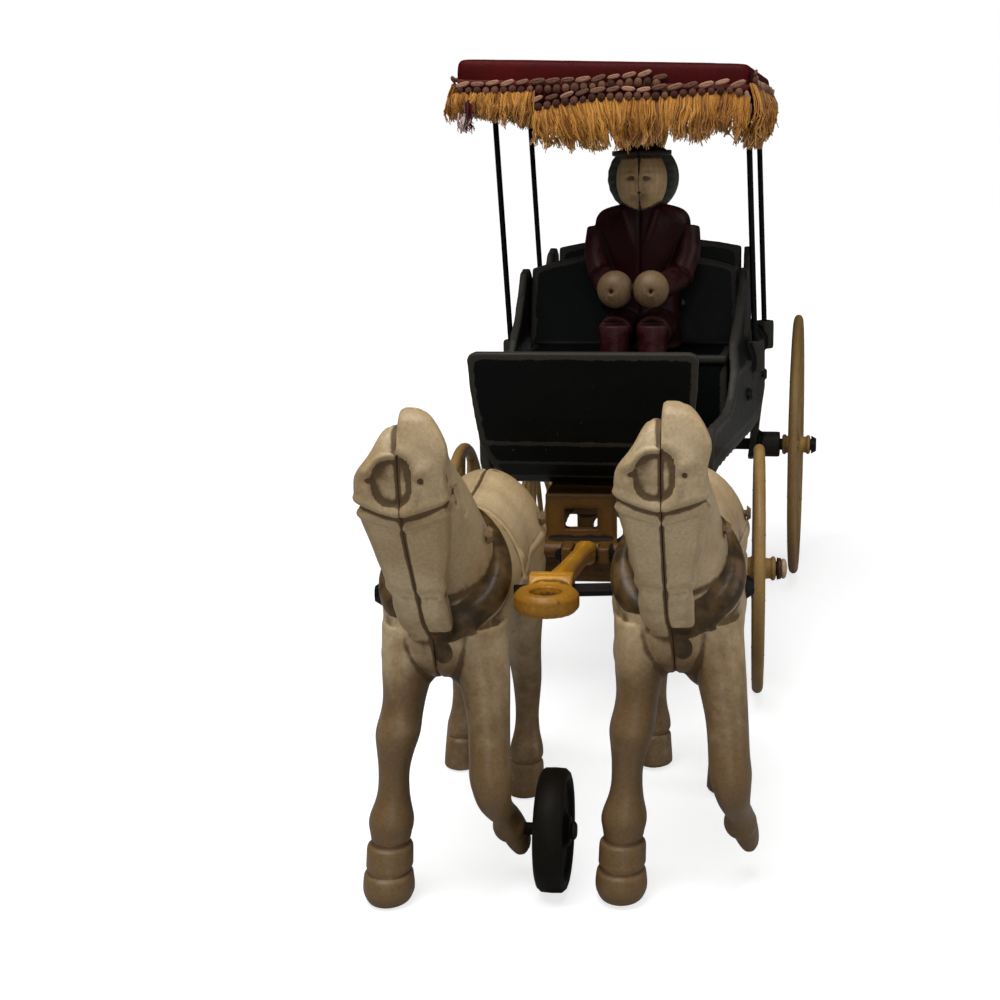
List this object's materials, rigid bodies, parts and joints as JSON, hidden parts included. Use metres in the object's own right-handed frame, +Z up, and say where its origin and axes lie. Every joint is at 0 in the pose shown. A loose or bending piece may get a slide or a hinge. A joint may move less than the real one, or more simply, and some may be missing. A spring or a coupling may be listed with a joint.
{
  "type": "cast iron toy horse carriage",
  "caption": "Cast iron toy surrey with a fringed canopy, spoked wheels, a driver and a passenger, drawn by a pair of trotting horses on a hinged pole with a guide wheel.",
  "frame": {"origin": "on the ground under the middle of the whole toy", "axes": "+Z up, the toy drives towards -Y, +X is the driver's left"},
  "size_m": [0.1006, 0.3164, 0.1611],
  "materials": {
    "black_iron": "worn gloss paint",
    "yellow_iron": "worn gloss paint",
    "cream_iron": "worn gloss paint",
    "red_iron": "worn gloss paint",
    "green_iron": "worn gloss paint",
    "guide_iron": "satin paint",
    "steel": "dark, oxidised",
    "board": "raw",
    "leatherette": "satin",
    "yarn": "woolly"
  },
  "bodies": {
    "carriage": {"dashboard": "black_iron", "floor_pan": "black_iron", "body_side_left": "black_iron", "body_side_right": "black_iron", "front_seat": "black_iron", "rear_seat": "black_iron", "body_rivet_front": "steel", "body_rivet_rear": "steel", "post_front_left": "steel", "post_front_right": "steel", "post_rear_left": "steel", "post_rear_right": "steel", "canopy_board": "board", "canopy_cover": "leatherette", "canopy_fringe": "yarn", "rear_axle": "steel", "kingpin": "steel", "driver_left_half": "red_iron", "driver_right_half": "red_iron", "driver_rivet": "steel", "passenger_left_half": "green_iron", "passenger_right_half": "green_iron", "passenger_rivet": "steel"},
    "left_rear_wheel": {"rear_wheel_left": "yellow_iron"},
    "right_rear_wheel": {"rear_wheel_right": "yellow_iron"},
    "steering_gear": {"front_gear": "yellow_iron", "front_axle": "steel", "pole_pin": "steel"},
    "left_front_wheel": {"front_wheel_left": "yellow_iron"},
    "right_front_wheel": {"front_wheel_right": "yellow_iron"},
    "draw_pole": {"pole": "yellow_iron", "hitch_pin": "steel"},
    "near_horse": {"near_horse_left_half": "cream_iron", "near_horse_right_half": "cream_iron", "near_horse_rump_rivet": "steel", "near_horse_neck_rivet": "steel"},
    "off_horse": {"off_horse_left_half": "cream_iron", "off_horse_right_half": "cream_iron", "off_horse_rump_rivet": "steel", "off_horse_neck_rivet": "steel", "guide_wheel_pin": "steel"},
    "small_wheel": {"guide_wheel": "guide_iron"}
  },
  "joints": [
    {"name": "rear_left_roll", "type": "hinge", "parent": "carriage", "child": "left_rear_wheel", "pos_m": [0.0439, 0.11602, 0.0422], "axis": [1, 0, 0], "continuous": true},
    {"name": "rear_right_roll", "type": "hinge", "parent": "carriage", "child": "right_rear_wheel", "pos_m": [-0.0439, 0.11602, 0.0422], "axis": [1, 0, 0], "continuous": true},
    {"name": "steering", "type": "hinge", "parent": "carriage", "child": "steering_gear", "pos_m": [0, -0.00778, 0.0553], "axis": [0, 0, 1], "range_deg": [-15.5, 8.5]},
    {"name": "front_left_roll", "type": "hinge", "parent": "steering_gear", "child": "left_front_wheel", "pos_m": [0.03822, -0.00531, 0.032], "axis": [0.9979, 0.0645, 0], "continuous": true},
    {"name": "front_right_roll", "type": "hinge", "parent": "steering_gear", "child": "right_front_wheel", "pos_m": [-0.03822, -0.01026, 0.032], "axis": [0.9979, 0.0645, 0], "continuous": true},
    {"name": "pole_pitch", "type": "hinge", "parent": "steering_gear", "child": "draw_pole", "pos_m": [0.00048, -0.04934, 0.0454], "axis": [0.9979, 0.0645, 0], "range_deg": [-6, 4]},
    {"name": "near_horse_rock", "type": "hinge", "parent": "draw_pole", "child": "near_horse", "pos_m": [0.02884, -0.11435, 0.0564], "axis": [0.9857, 0.1684, 0.0091], "range_deg": [-3, 3]},
    {"name": "off_horse_rock", "type": "hinge", "parent": "draw_pole", "child": "off_horse", "pos_m": [-0.01457, -0.12176, 0.056], "axis": [0.9857, 0.1684, 0.0091], "range_deg": [-3, 3]},
    {"name": "guide_wheel_roll", "type": "hinge", "parent": "off_horse", "child": "small_wheel", "pos_m": [0.00699, -0.12895, 0.0118], "axis": [0.9989, 0.0471, 0], "continuous": true}
  ]
}
